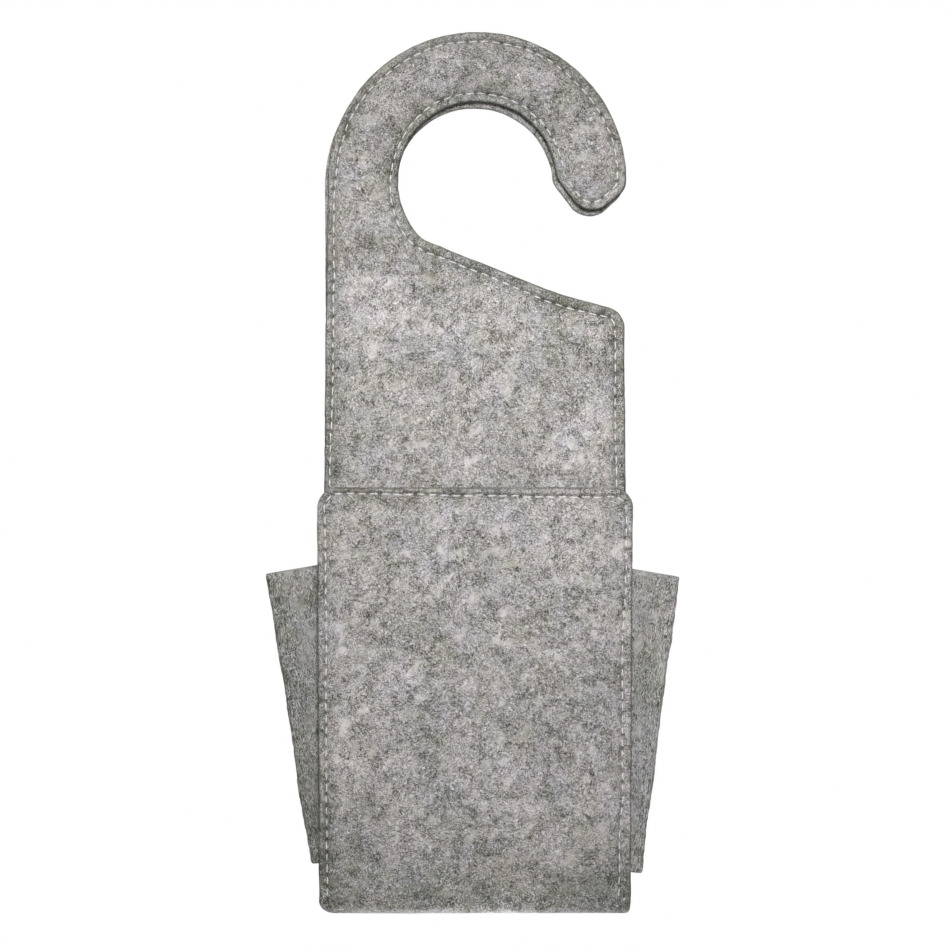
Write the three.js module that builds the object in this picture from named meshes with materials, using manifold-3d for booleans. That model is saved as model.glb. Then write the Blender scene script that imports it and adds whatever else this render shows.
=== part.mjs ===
// Felt organizer that hangs on a door knob.
// A stiffened hook and back, a pocket folded up from the same two felt blanks, and a folded gusset
// on each side that lets the pocket open.
// Millimetres, Z up. The origin is the centre of the knob opening, on the face against the door.
// The front of the organizer faces -Y.
import * as THREE from 'three';
import { mergeVertices } from 'three/addons/utils/BufferGeometryUtils.js';
import Module from 'manifold-3d';

const wasm = await Module();
wasm.setup();

// Materials and fits
const FELT_THICKNESS = 2.6;
const BOARD_THICKNESS = 1.4;
const GUSSET_THICKNESS = 2;
const THREAD_DIAMETER = 0.7;
const CLEARANCE = 0.3;

// Hook and back, measured from the centre of the knob opening
const KNOB_RADIUS = 31.7;
const BACK_WIDTH = 119.2;
const BOTTOM_DROP = 291.8;
const SHOULDER_DROP = 52;
const SHOULDER_RADIUS = 8.8;
const SHOULDER_BEND_INSET = 25.7;
const SHOULDER_BEND_RISE = 6.8;
const SHOULDER_BEND_RADIUS = 90;
const THROAT_ANGLE = 227;
const THROAT_RADIUS = 12;
const FLARE_DROP = 63;
const FLARE_RADIUS = 80;

// Free end of the hook
const TIP_INNER_ANGLE = 3;
const TIP_OUTER_ANGLE = -2.5;
const TIP_POINT_ANGLE = -19.7;
const TIP_POINT_RADIUS = 47.4;
const TIP_POINT_ROUNDING = 9;
const TIP_SIDE_ROUNDING = 7;

// Pocket
const POCKET_WIDTH = 123.3;
const POCKET_HEIGHT = 170.5;
const POCKET_CORNER_RADIUS = 8;
const POCKET_REST_ANGLE = 5;
const POCKET_TRAVEL = 8.5;
const CREASE_GAP = 1.2;

// Gussets, with heights measured up from the bottom of the pocket
const WING_SPREAD = 20.75;
const GUSSET_TOP = 133.8;
const GUSSET_FOOT = 18.2;
const GUSSET_EDGE_ROUNDING = 0.6;

// Edge seam and padding, with insets measured in from the cut edge
const SEAM_INSET = 3.2;
const BORDER_THICKNESS = 2.25;
const EDGE_ROUNDING = 0.8;
const GROOVE_SIDE_CLEARANCE = 0.2;
const GROOVE_SLOPE = 0.75;
const BOARD_INSET = 7.3;
const BOARD_SEAT_RAMP = 2;
const PAD_RISE_INSET = 7;
const PAD_FULL_INSET = 10.5;

// Shares of the room in a narrow place that an inset may take whole, and at most
const FREE_SHARE = 0.8;
const FULL_SHARE = 0.95;

// Fineness of the facets
const ARC_STEP = THREE.MathUtils.degToRad(15);
const KNOB_ARC_STEPS = 28;
const HOOK_ARC_STEPS = 24;
const THREAD_SIDES = 6;
const FOLD_ARC_STEPS = 24;
const ROUNDING_STEPS = 2;
const SAME_POINT = 1e-4;

// Levels across one panel, measured from the plane where its two plies meet
const plySeat = CLEARANCE / 2;
const boardSeat = BOARD_THICKNESS / 2 + CLEARANCE;
const loft = boardSeat + FELT_THICKNESS;
const border = plySeat + BORDER_THICKNESS;
const grooveFloor = border - THREAD_DIAMETER - CLEARANCE;
const threadLevel = border - THREAD_DIAMETER / 2;
const padRise = boardSeat + BORDER_THICKNESS;

// Places of the panels and of the fold under the pocket
const backHalf = BACK_WIDTH / 2;
const pocketHalf = POCKET_WIDTH / 2;
const panelThickness = 2 * loft;
const foldRadius = panelThickness + CREASE_GAP / 2;
const backSeamY = -loft;
const backFoot = -BOTTOM_DROP + foldRadius + CLEARANCE;
const runout = PAD_FULL_INSET + CLEARANCE;

// The pocket turns about the lowest line of the fold
const hinge = new THREE.Vector3(0, -foldRadius, -BOTTOM_DROP);
const restAngle = THREE.MathUtils.degToRad(POCKET_REST_ANGLE);
const openAngle = THREE.MathUtils.degToRad(POCKET_REST_ANGLE + POCKET_TRAVEL);
const pocketFace = (foldRadius * (1 - Math.sin(restAngle))) / Math.cos(restAngle);
const pocketSeam = pocketFace - loft;
const pocketFoot = (foldRadius + CLEARANCE + pocketFace * Math.sin(openAngle)) / Math.cos(openAngle);

// Outlines

function polar(radius, degrees) {
  const angle = THREE.MathUtils.degToRad(degrees);
  return new THREE.Vector2(radius * Math.cos(angle), radius * Math.sin(angle));
}

function corner(point, rounding = 0) {
  return { point, rounding };
}

function arcBetween(radius, start, end, steps) {
  const inside = Array.from({ length: steps - 1 }, (_, k) => start + ((end - start) * (k + 1)) / steps);
  return inside.map((degrees) => corner(polar(radius, degrees)));
}

function roundOff(before, at, after, rounding) {
  const back = before.clone().sub(at).normalize();
  const onward = after.clone().sub(at).normalize();
  const half = Math.acos(THREE.MathUtils.clamp(back.dot(onward), -1, 1)) / 2;
  const reach = rounding / Math.tan(half);
  const middle = back.clone().add(onward).normalize();
  const centre = at.clone().addScaledVector(middle, rounding / Math.sin(half));
  const start = at.clone().addScaledVector(back, reach).sub(centre);
  const end = at.clone().addScaledVector(onward, reach).sub(centre);
  const sweep = Math.atan2(start.cross(end), start.dot(end));
  const steps = Math.max(2, Math.ceil(Math.abs(sweep) / ARC_STEP));
  const origin = new THREE.Vector2();
  return Array.from({ length: steps + 1 }, (_, k) =>
    start.clone().rotateAround(origin, (sweep * k) / steps).add(centre));
}

function outlineOf(corners) {
  const count = corners.length;
  return corners.flatMap(({ point, rounding }, i) => {
    if (rounding === 0) return [point];
    const before = corners[(i + count - 1) % count].point;
    const after = corners[(i + 1) % count].point;
    return roundOff(before, point, after, rounding);
  });
}

// Half of the back's width at a height: straight sides that flare out to the pocket's width at the bottom
function backHalfWidth(z) {
  const share = Math.max(0, -FLARE_DROP - z) / (BOTTOM_DROP - FLARE_DROP);
  return backHalf + (pocketHalf - backHalf) * share;
}

// Hook and back, anticlockwise from the front, starting with the two corners that are trimmed off at the fold
function backOutline() {
  const low = backFoot - runout;
  const bendPoint = new THREE.Vector2(backHalf - SHOULDER_BEND_INSET, SHOULDER_BEND_RISE - SHOULDER_DROP);
  return outlineOf([
    corner(new THREE.Vector2(-backHalfWidth(low), low)),
    corner(new THREE.Vector2(backHalfWidth(low), low)),
    corner(new THREE.Vector2(backHalf, -FLARE_DROP), FLARE_RADIUS),
    corner(new THREE.Vector2(backHalf, -SHOULDER_DROP), SHOULDER_RADIUS),
    corner(bendPoint, SHOULDER_BEND_RADIUS),
    corner(polar(KNOB_RADIUS, THROAT_ANGLE), THROAT_RADIUS),
    ...arcBetween(KNOB_RADIUS, THROAT_ANGLE, TIP_INNER_ANGLE, KNOB_ARC_STEPS),
    corner(polar(KNOB_RADIUS, TIP_INNER_ANGLE), TIP_SIDE_ROUNDING),
    corner(polar(TIP_POINT_RADIUS, TIP_POINT_ANGLE), TIP_POINT_ROUNDING),
    corner(polar(backHalf, TIP_OUTER_ANGLE), TIP_SIDE_ROUNDING),
    ...arcBetween(backHalf, TIP_OUTER_ANGLE, 180, HOOK_ARC_STEPS),
    corner(polar(backHalf, 180)),
    corner(new THREE.Vector2(-backHalf, -FLARE_DROP), FLARE_RADIUS),
  ]);
}

// Front of the pocket, with heights measured up from its hinge line
function pocketOutline() {
  const low = pocketFoot - runout;
  return outlineOf([
    corner(new THREE.Vector2(-pocketHalf, low)),
    corner(new THREE.Vector2(pocketHalf, low)),
    corner(new THREE.Vector2(pocketHalf, POCKET_HEIGHT), POCKET_CORNER_RADIUS),
    corner(new THREE.Vector2(-pocketHalf, POCKET_HEIGHT), POCKET_CORNER_RADIUS),
  ]);
}

// Inward direction at each point of an outline, lengthened at corners so that every side moves in equally
function inwardDirections(outline) {
  const count = outline.length;
  const sides = outline.map((point, i) => {
    const along = outline[(i + 1) % count].clone().sub(point).normalize();
    return new THREE.Vector2(-along.y, along.x);
  });
  return outline.map((_, i) => {
    const before = sides[(i + count - 1) % count];
    const middle = before.clone().add(sides[i]).normalize();
    return middle.divideScalar(middle.dot(before));
  });
}

// Radius of the largest circle inside the outline that touches it at one point
function roomAt(outline, direction, point) {
  const inward = direction.clone().normalize();
  return outline.reduce((room, other) => {
    const gap = other.clone().sub(point);
    const depth = gap.dot(inward);
    return depth > SAME_POINT ? Math.min(room, gap.lengthSq() / (2 * depth)) : room;
  }, Infinity);
}

// An inset that fits is kept whole, and a deeper one is drawn together towards the middle of a narrow place
function insetWithin(inset, room) {
  const free = FREE_SHARE * room;
  const most = FULL_SHARE * room;
  if (inset <= free || room === Infinity) return inset;
  return free + ((most - free) * (inset - free)) / (PAD_FULL_INSET - free);
}

function insetOutline(outline, inset) {
  const directions = inwardDirections(outline);
  return outline.map((point, i) => {
    const room = roomAt(outline, directions[i], point);
    return point.clone().addScaledVector(directions[i], insetWithin(inset, room));
  });
}

// Solids

function capOf(ring) {
  const normal = new THREE.Vector3();
  ring.forEach((point, i) => {
    normal.add(new THREE.Vector3().crossVectors(point, ring[(i + 1) % ring.length]));
  });
  const first = ring[1].clone().sub(ring[0]).normalize();
  const second = new THREE.Vector3().crossVectors(normal.normalize(), first);
  const flat = ring.map((point) => new THREE.Vector2(point.dot(first), point.dot(second)));
  return THREE.ShapeUtils.triangulateShape(flat, []);
}

// Closed solid through a row of rings with equal numbers of points
function loftThrough(rings) {
  const count = rings[0].length;
  const faces = [];
  capOf(rings[0]).forEach(([a, b, c]) => faces.push(c, b, a));
  for (let k = 0; k + 1 < rings.length; k += 1) {
    for (let i = 0; i < count; i += 1) {
      const a = k * count + i;
      const b = k * count + ((i + 1) % count);
      faces.push(a, b, b + count, a, b + count, a + count);
    }
  }
  const last = (rings.length - 1) * count;
  capOf(rings.at(-1)).forEach(([a, b, c]) => faces.push(last + a, last + b, last + c));
  const geometry = new THREE.BufferGeometry().setFromPoints(rings.flat());
  geometry.setIndex(faces);
  return geometry;
}

function solidOf(geometry) {
  const bare = geometry.clone();
  bare.deleteAttribute('normal');
  bare.deleteAttribute('uv');
  const merged = mergeVertices(bare, SAME_POINT);
  return new wasm.Manifold(new wasm.Mesh({
    numProp: 3,
    vertProperties: new Float32Array(merged.attributes.position.array),
    triVerts: new Uint32Array(merged.index.array),
  }));
}

function geometryOf(solid) {
  const mesh = solid.getMesh();
  const geometry = new THREE.BufferGeometry();
  geometry.setAttribute('position', new THREE.BufferAttribute(mesh.vertProperties, mesh.numProp));
  geometry.setIndex(new THREE.BufferAttribute(mesh.triVerts, 1));
  return geometry;
}

// The felt runs on round the fold, so a ply ends there in a plain cut across its seam and padding
function cutBelow(geometry, level) {
  const size = 3 * POCKET_WIDTH;
  const block = new THREE.BoxGeometry(size, size, size).translate(0, 0, level - size / 2);
  return geometryOf(solidOf(geometry).subtract(solidOf(block)));
}

// A ring of a panel at a level in front of its middle plane, or behind it where facing is -1
function ringAt(flat, level, facing) {
  const ring = flat.map((point) => new THREE.Vector3(point.x, -facing * level, point.y));
  return facing > 0 ? ring : ring.reverse();
}

// Felt ply: flat where it meets the other ply, hollowed over the board, with a rounded cut edge,
// a sunk stitch line and a padded middle
function ply(outline, facing, level) {
  const grooveHalf = THREAD_DIAMETER / 2 + GROOVE_SIDE_CLEARANCE;
  const section = [
    [BOARD_INSET - CLEARANCE, boardSeat],
    [BOARD_INSET - CLEARANCE - BOARD_SEAT_RAMP, plySeat],
    [0, plySeat],
    [0, border - EDGE_ROUNDING],
    [EDGE_ROUNDING, border],
    [SEAM_INSET - grooveHalf - GROOVE_SLOPE, border],
    [SEAM_INSET - grooveHalf, grooveFloor],
    [SEAM_INSET + grooveHalf, grooveFloor],
    [SEAM_INSET + grooveHalf + GROOVE_SLOPE, border],
    [PAD_RISE_INSET, padRise],
    [PAD_FULL_INSET, loft],
  ];
  const rings = section.map(([inset, height]) => ringAt(insetOutline(outline, inset), height, facing));
  return cutBelow(loftThrough(rings), level);
}

function board(outline, level) {
  const flat = insetOutline(outline, BOARD_INSET);
  const faces = [-BOARD_THICKNESS / 2, BOARD_THICKNESS / 2];
  return cutBelow(loftThrough(faces.map((height) => ringAt(flat, height, 1))), level);
}

// Thread in the sunk stitch line, from one end of the fold up round the edge to the other
function thread(outline, facing, level) {
  const [lowLeft, lowRight, ...upper] = insetOutline(outline, SEAM_INSET);
  const atFold = (low, next) => low.clone().lerp(next, (level - low.y) / (next.y - low.y));
  const path = [atFold(lowRight, upper[0]), ...upper, atFold(lowLeft, upper.at(-1))];
  const directions = inwardDirections([...path, lowLeft, lowRight]);
  const sides = Array.from({ length: THREAD_SIDES }, (_, k) => (2 * Math.PI * k) / THREAD_SIDES);
  const rings = path.map((point, i) => sides.map((angle) => {
    const across = point.clone().addScaledVector(directions[i], Math.cos(angle) * THREAD_DIAMETER / 2);
    const out = threadLevel + Math.sin(angle) * THREAD_DIAMETER / 2;
    return new THREE.Vector3(across.x, -facing * out, across.y);
  }));
  if (facing < 0) rings.forEach((ring) => ring.reverse());
  return loftThrough(rings);
}

// Half round of felt under the pocket that joins the plies of the back to those of the pocket's front
function fold(outerRadius, width) {
  const section = new THREE.Shape();
  section.absarc(0, 0, outerRadius, Math.PI, 2 * Math.PI, false);
  section.absarc(0, 0, outerRadius - FELT_THICKNESS, 2 * Math.PI, Math.PI, true);
  const options = { depth: width, bevelEnabled: false, curveSegments: FOLD_ARC_STEPS };
  const toSection = new THREE.Matrix4().makeBasis(
    new THREE.Vector3(0, 1, 0),
    new THREE.Vector3(0, 0, 1),
    new THREE.Vector3(1, 0, 0),
  );
  return new THREE.ExtrudeGeometry(section, options).translate(0, 0, -width / 2).applyMatrix4(toSection);
}

// Gusset: two leaves whose root, fold and front edge all run through one apex on the pocket's hinge line

const leanIn = Math.atan((pocketHalf - backHalf) / (BOTTOM_DROP - FLARE_DROP));
const apexX = pocketHalf + CLEARANCE;

function gussetLayout() {
  const sideways = new THREE.Vector3(1, 0, 0);
  const root = new THREE.Vector3(-Math.sin(leanIn), 0, Math.cos(leanIn));
  const front = root.clone().applyAxisAngle(sideways, restAngle);
  const middle = root.clone().add(front).normalize();
  const outward = new THREE.Vector3().crossVectors(root, front).normalize();
  const spread = Math.atan((pocketHalf + WING_SPREAD - apexX) / GUSSET_TOP) + leanIn;
  const crease = middle.clone().multiplyScalar(Math.cos(spread)).addScaledVector(outward, Math.sin(spread));
  const across = (axis, direction) => direction.clone().projectOnPlane(axis);
  return {
    leafAngle: root.angleTo(crease),
    rootTurn: across(root, sideways).angleTo(across(root, crease)),
    creaseTurn: across(crease, root).angleTo(across(crease, front)),
    creaseTop: GUSSET_TOP / crease.z,
  };
}

const gusset = gussetLayout();
const frontLeafFace = pocketSeam - border - CLEARANCE;
const frontLeafBack = frontLeafFace - GUSSET_THICKNESS;
const rearLeafFace = frontLeafBack - CLEARANCE;

// Leaf in its own plane, x outward from the crease and z up along it, reaching forward from a back level
function leaf(side, backLevel) {
  const widening = Math.tan(gusset.leafAngle);
  const edge = -CLEARANCE / 2;
  const foot = GUSSET_FOOT;
  const top = gusset.creaseTop;
  const shape = new THREE.Shape([
    new THREE.Vector2(side * edge, foot),
    new THREE.Vector2(side * edge, top),
    new THREE.Vector2(-side * widening * top, top),
    new THREE.Vector2(-side * widening * foot, foot),
  ]);
  const upright = new THREE.Matrix4().makeBasis(
    new THREE.Vector3(1, 0, 0),
    new THREE.Vector3(0, 0, 1),
    new THREE.Vector3(0, -1, 0),
  );
  const options = {
    depth: GUSSET_THICKNESS - 2 * GUSSET_EDGE_ROUNDING,
    bevelThickness: GUSSET_EDGE_ROUNDING,
    bevelSize: GUSSET_EDGE_ROUNDING,
    bevelOffset: -GUSSET_EDGE_ROUNDING,
    bevelSegments: ROUNDING_STEPS,
  };
  const plate = new THREE.ExtrudeGeometry(shape, options).translate(0, 0, GUSSET_EDGE_ROUNDING);
  return plate.applyMatrix4(upright).translate(0, -backLevel, 0);
}

// Assembly

const felt = { color: 0xa6a4a3, roughness: 0.97, metalness: 0 };
const shadedFelt = { color: 0x989694, roughness: 0.97, metalness: 0 };
const cardboard = { color: 0xb4ab9b, roughness: 0.9, metalness: 0 };
const cotton = { color: 0xdad8da, roughness: 0.8, metalness: 0 };

function piece(name, geometry, look) {
  const mesh = new THREE.Mesh(geometry, new THREE.MeshStandardMaterial(look));
  mesh.name = name;
  return mesh;
}

function buildBack() {
  const outline = backOutline();
  const group = new THREE.Group();
  group.position.y = backSeamY;
  group.add(
    piece('back_rear_ply', ply(outline, -1, backFoot), felt),
    piece('back_board', board(outline, backFoot), cardboard),
    piece('back_front_ply', ply(outline, 1, backFoot), felt),
    piece('back_needle_thread', thread(outline, 1, backFoot), cotton),
    piece('back_bobbin_thread', thread(outline, -1, backFoot), cotton),
  );
  return group;
}

function buildFolds() {
  const group = new THREE.Group();
  group.position.set(0, hinge.y, hinge.z + foldRadius);
  group.add(
    piece('outer_fold', fold(foldRadius, POCKET_WIDTH), felt),
    piece('inner_fold', fold(FELT_THICKNESS + CREASE_GAP / 2, POCKET_WIDTH), felt),
  );
  return group;
}

function buildPocketFront() {
  const outline = pocketOutline();
  const panel = new THREE.Group();
  panel.position.y = -pocketSeam;
  panel.add(
    piece('pocket_outer_ply', ply(outline, 1, pocketFoot), felt),
    piece('pocket_board', board(outline, pocketFoot), cardboard),
    piece('pocket_inner_ply', ply(outline, -1, pocketFoot), felt),
    piece('pocket_needle_thread', thread(outline, 1, pocketFoot), cotton),
    piece('pocket_bobbin_thread', thread(outline, -1, pocketFoot), cotton),
  );
  const group = new THREE.Group();
  group.position.copy(hinge);
  group.rotation.x = restAngle;
  group.add(panel);
  return group;
}

// Rear leaf turned forward about its root, and front leaf folded back from it about the crease
function buildGusset(name, side) {
  const root = new THREE.Group();
  root.position.set(side * apexX, hinge.y, hinge.z);
  root.rotation.y = -side * leanIn;
  const turned = new THREE.Group();
  turned.rotation.z = -side * gusset.rootTurn;
  const crease = new THREE.Group();
  crease.rotation.y = side * gusset.leafAngle;
  const folded = new THREE.Group();
  folded.rotation.z = side * gusset.creaseTurn;
  root.add(turned);
  turned.add(crease);
  crease.add(piece(`${name}_gusset_rear_leaf`, leaf(side, rearLeafFace - GUSSET_THICKNESS), shadedFelt));
  crease.add(folded);
  folded.add(piece(`${name}_gusset_front_leaf`, leaf(side, frontLeafBack), shadedFelt));
  return root;
}

const organizer = new THREE.Group();
organizer.name = 'door_knob_organizer';
organizer.add(
  buildBack(),
  buildFolds(),
  buildPocketFront(),
  buildGusset('left', -1),
  buildGusset('right', 1),
);

export default organizer;
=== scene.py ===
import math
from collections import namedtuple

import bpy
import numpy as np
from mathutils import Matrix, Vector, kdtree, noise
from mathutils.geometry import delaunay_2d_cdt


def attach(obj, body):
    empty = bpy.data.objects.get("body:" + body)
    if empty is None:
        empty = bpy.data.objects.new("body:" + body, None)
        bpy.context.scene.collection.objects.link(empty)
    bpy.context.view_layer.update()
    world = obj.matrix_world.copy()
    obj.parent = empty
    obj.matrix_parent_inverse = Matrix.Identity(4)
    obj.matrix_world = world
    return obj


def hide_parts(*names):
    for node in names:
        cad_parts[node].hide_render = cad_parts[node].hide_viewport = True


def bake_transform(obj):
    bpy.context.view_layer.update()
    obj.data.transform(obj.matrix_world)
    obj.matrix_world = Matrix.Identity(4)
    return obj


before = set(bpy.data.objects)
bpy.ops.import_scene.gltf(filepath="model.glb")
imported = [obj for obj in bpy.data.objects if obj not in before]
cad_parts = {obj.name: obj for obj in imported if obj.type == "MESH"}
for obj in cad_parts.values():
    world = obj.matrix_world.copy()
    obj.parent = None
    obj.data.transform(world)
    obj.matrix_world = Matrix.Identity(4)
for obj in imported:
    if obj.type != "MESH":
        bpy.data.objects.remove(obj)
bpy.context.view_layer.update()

# The looks of a grey felt organizer that hangs on a door knob.
# Two felt blanks run from the hook down under the pocket and up again as the pocket's front, with
# stiffening boards between them. Lockstitch holds the blanks together round the edge, and a folded
# felt gusset spreads as a wing on each side of the pocket.
# Shapes are worked out in millimetres, with Z up, the front facing -Y and the origin at the centre
# of the knob opening. They become metres where a mesh is made.

MM = 0.001

# Hook and back
KNOB_RADIUS = 31.7
BACK_HALF = 59.6
BOTTOM_DROP = 291.8
SHOULDER_DROP = 52
SHOULDER_RADIUS = 8.8
SHOULDER_BEND_INSET = 25.7
SHOULDER_BEND_RISE = 6.8
SHOULDER_BEND_RADIUS = 90
THROAT_ANGLE = 227
THROAT_RADIUS = 12
FLARE_DROP = 63
FLARE_RADIUS = 80
TIP_INNER_ANGLE = 3
TIP_OUTER_ANGLE = -2.5
TIP_POINT_ANGLE = -19.7
TIP_POINT_RADIUS = 47.4
TIP_POINT_ROUNDING = 9
TIP_SIDE_ROUNDING = 7
ARC_END_GAP = 8

# Pocket and fold
POCKET_HALF = 61.65
POCKET_HEIGHT = 170.5
POCKET_CORNER_RADIUS = 8
POCKET_LEAN = math.radians(5)
POCKET_SEAM_LEVEL = 3.547
FOLD_RADIUS = 7.8
FOLD_LEFT_ROUNDING = 5.6
FOLD_RIGHT_ROUNDING = 1.5
FOLD_FADE = 14

# Heights across a panel, measured from the plane where its two plies meet
SEAM_PLANE = 3.6
PLY_SEAT = 0.15
BOARD_SEAT = 1.0
BOARD_INSET = 7.0
BOARD_RAMP = 2.0
BORDER = 2.4
LOFT = 3.6
EDGE_ROUNDING = 1.1
LINING_ROUNDING = 0.55
EDGE_BULGE = 0.12
PILLOW_START = 3.4
PILLOW_END = 11.5

# How uneven the felt is: its reach, and waves as (share, size, shift of the seed)
EDGE_WANDER = 0.2
EDGE_WAVES = ((1.0, 9, 0), (0.6, 2.5, 5))
UNEVENNESS = 0.2
UNEVEN_WAVES = ((1.0, 34, 0), (0.45, 11, 3))
UNEVEN_BORDER_SHARE = 0.3

# Seam
STITCH_PITCH = 4.6
STITCH_GAP = 0.9
STITCH_STEPS = 9
STITCH_SIDES = 8
STITCH_DIVE = 0.85
STITCH_DIVE_POWER = 3
STITCH_SIT = 0.2
STITCH_WANDER = 0.14
STITCH_SINK = 0.14
TANGENT_STEP = 0.2
SEAM_WANDER = 0.7
SEAM_WANDER_SIZE = 26
INSET_FALLOFF = 3.0
INSET_SOFTNESS = 1
THREAD_RADIUS = 0.23
THREAD_TWIST = 2.2
THREAD_PLIES = 2
THREAD_PLY_DEPTH = 0.14
GROOVE_DEPTH = 0.65
GROOVE_WIDTH = 0.95
HOLE_DEPTH = 0.55
HOLE_WIDTH = 0.65
# How dark each needle hole's painted shade is, drawn at random between these
HOLE_SHADE_LEAST = 0.15
HOLE_SHADE_MOST = 1.3
HOLE_SEED = 21
PUCKER = 0.1
PUCKER_REACH = 2.6

# Darkness of the felt in units of its shade attribute: above zero it is darker, below zero paler. Most of it
# is painted shade, and what is paler is painted light, as noted at each part. The hook's part of it, which
# darkens the whole hook, comes on between two heights above the fold's centre.
# Along the border the felt is darker, partly where the seam presses it and partly as painted shade of its
# slopes; the pocket's left border gets more of this painted shade than its right, as if lit from the right
BORDER_PRESS_AND_SHADE_REACH = 9.5
BORDER_PRESS_AND_SHADE_RAMP = 7.0
BACK_PRESS_AND_SHADE = 2.6
HOOK_PRESS_AND_SHADE = 1.2
HOOK_SHADE = 0.85
HOOK_SHADE_SPAN = (228, 262)
POCKET_LEFT_PRESS_AND_SHADE = 2.1
POCKET_RIGHT_PRESS_AND_SHADE = 0.35
# Painted shade in the needle holes and in the seam's groove
HOLE_SHADE = 4.2
GROOVE_SHADE = 0.4
# Painted shade on the rounded rim, and on the cut edge where the plies meet
RIM_SHADE = 3.6
RIM_WIDTH = 0.5
CUT_SHADE = 5.0
# Painted shade on the lining along its border, under the other ply
COVERED_SHADE = 1.2
# Painted shade beside the fold and painted light where it turns under
FOLD_LEFT_SHADE = 3.2
FOLD_RIGHT_SHADE = 2.1
FOLD_SHADE_TOP = 40
FOLD_SHADE_RAMP = 32
FOLD_PALE = 4.4
FOLD_PALE_TOP = 4.0

# The hook sags a little to the right, and its rear ply was sewn a little out of register
HOOK_SAG = 0.9
SAG_LOW = -32
SAG_HIGH = -15
HOOK_REGISTER = np.array([-1.2, -2.2])
REGISTER_LOW = -60
REGISTER_HIGH = 0

# Gussets. The waves along a crease are (reach, size, seed).
APEX_X = 61.95
LEAN_IN = math.radians(0.5138)
LEAF_ANGLE = math.radians(9.534)
ROOT_TURN = math.radians(15.09)
CREASE_TURN = math.radians(30.54)
GUSSET_HALF = 1.0
GUSSET_RIM_SHARE = 0.7
GUSSET_TUCK = 2.3
ROOT_TUCK = 1.8
REAR_LEAF_LEVEL = -2.453
FRONT_LEAF_LEVEL = -0.153
GUSSET_UNEVENNESS = 0.12
GUSSET_UNEVEN_SIZE = 20
CREASE_PULL = 2.1
CREASE_REACH = 12
CREASE_WAVES = ((0.6, 14, 7.5), (0.24, 3.5, 2.5), (0.16, 1.6, 4.5))
FOOT_SPREAD_POWER = 1.5
# A wing's shade is painted shade over all of it, more on the left wing; its crease shade is painted shade
# along the crease, and painted light where it is below zero
Wing = namedtuple("Wing", "name side foot top crease_inset foot_spread shade crease_shade")
LEFT_WING = Wing("left", -1, 20.0, 136.9, 2.9, 0.6, 1.65, 1.1)
RIGHT_WING = Wing("right", 1, 16.4, 135.4, 3.9, 3.4, 0.85, -0.8)

# Fineness of the meshes
CURVE_STEP = 0.5
EDGE_STEP = 1.0
GRID_STEP = 1.6
SEAM_STEP = 0.6
SEAM_LINES = (-1.25, -0.8, -0.4, 0.0, 0.4, 0.8, 1.25)
SEAM_CLEAR = 1.75
EDGE_RINGS = (0.25, 0.6, 1.0, 1.5)
EDGE_CLEAR = 1.9
LINING_RINGS = (0.2, 0.6, BOARD_INSET - BOARD_RAMP, BOARD_INSET)
RING_SLACK = 0.05
COARSE_STEP = 6.0
COARSE_CLEAR = BOARD_INSET + 1
LEAF_STEPS = 22
CREASE_STEPS = 12
GUSSET_ROWS = 150
TRIANGLES_INSIDE = 1
MERGE_DISTANCE = 1e-6

# The felt's pattern is shifted by this much from one piece to the next
CLOTH_SHIFT = 50

# Where the stitch line runs, as (x, height) on the panel and its inset from the edge there
BACK_SEAM_INSETS = [
    ((-59.6, -130), 2.4),
    ((-59.6, -30), 2.8),
    ((0, 59.6), 3.6),
    ((45, 39), 3.5),
    ((59.6, 0), 3.4),
    ((44.6, -16), 3.4),
    ((31.7, 2), 3.2),
    ((0, 31.7), 3.4),
    ((-31.7, 0), 3.0),
    ((-21, -24), 4.1),
    ((34, -45), 4.2),
    ((59.6, -70), 3.7),
    ((60.5, -200), 4.0),
]
POCKET_SEAM_INSETS = [
    ((-61.65, 20), 3.1),
    ((-61.65, 150), 3.0),
    ((-40, 170.5), 2.5),
    ((40, 170.5), 3.4),
    ((61.65, 150), 2.8),
    ((61.65, 70), 3.6),
    ((61.65, 15), 4.6),
]

FOLD_CENTRE_Z = FOLD_RADIUS - BOTTOM_DROP
FOLD_SEAM_RADIUS = FOLD_RADIUS - SEAM_PLANE
FOLD_SWEEP = math.pi - POCKET_LEAN
FOLD_END_UP = FOLD_RADIUS * math.cos(POCKET_LEAN)
FOLD_END_LEVEL = FOLD_SEAM_RADIUS - FOLD_RADIUS * math.sin(POCKET_LEAN)


# Numbers


def smooth(share):
    share = np.clip(share, 0.0, 1.0)
    return share * share * (3 - 2 * share)


def bell(distance, width):
    return np.exp(-((distance / width) ** 2))


def ripple(points, size, seed):
    """Smooth random values about zero at flat points, with hills of about the given size."""
    return np.array([noise.noise((x / size, y / size, seed)) for x, y in points])


def waves(points, layers, seed):
    """Sum of ripples, each a share of the whole with a size and a seed of its own."""
    return sum(share * ripple(points, size, seed + shift) for share, size, shift in layers)


# Outlines and lines on a flat panel


def polar(radius, degrees):
    angle = math.radians(degrees)
    return np.array([radius * math.cos(angle), radius * math.sin(angle)])


def unit(vector):
    return vector / np.linalg.norm(vector)


def round_off(before, at, after, radius):
    back, onward = unit(before - at), unit(after - at)
    half = math.acos(np.clip(back @ onward, -1, 1)) / 2
    centre = at + unit(back + onward) * radius / math.sin(half)
    start = at + back * radius / math.tan(half) - centre
    end = at + onward * radius / math.tan(half) - centre
    sweep = math.atan2(start[0] * end[1] - start[1] * end[0], start @ end)
    steps = max(2, math.ceil(abs(sweep) * radius / CURVE_STEP))
    angles = sweep * np.arange(steps + 1) / steps
    across = np.array([-start[1], start[0]])
    return centre + np.outer(np.cos(angles), start) + np.outer(np.sin(angles), across)


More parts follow.
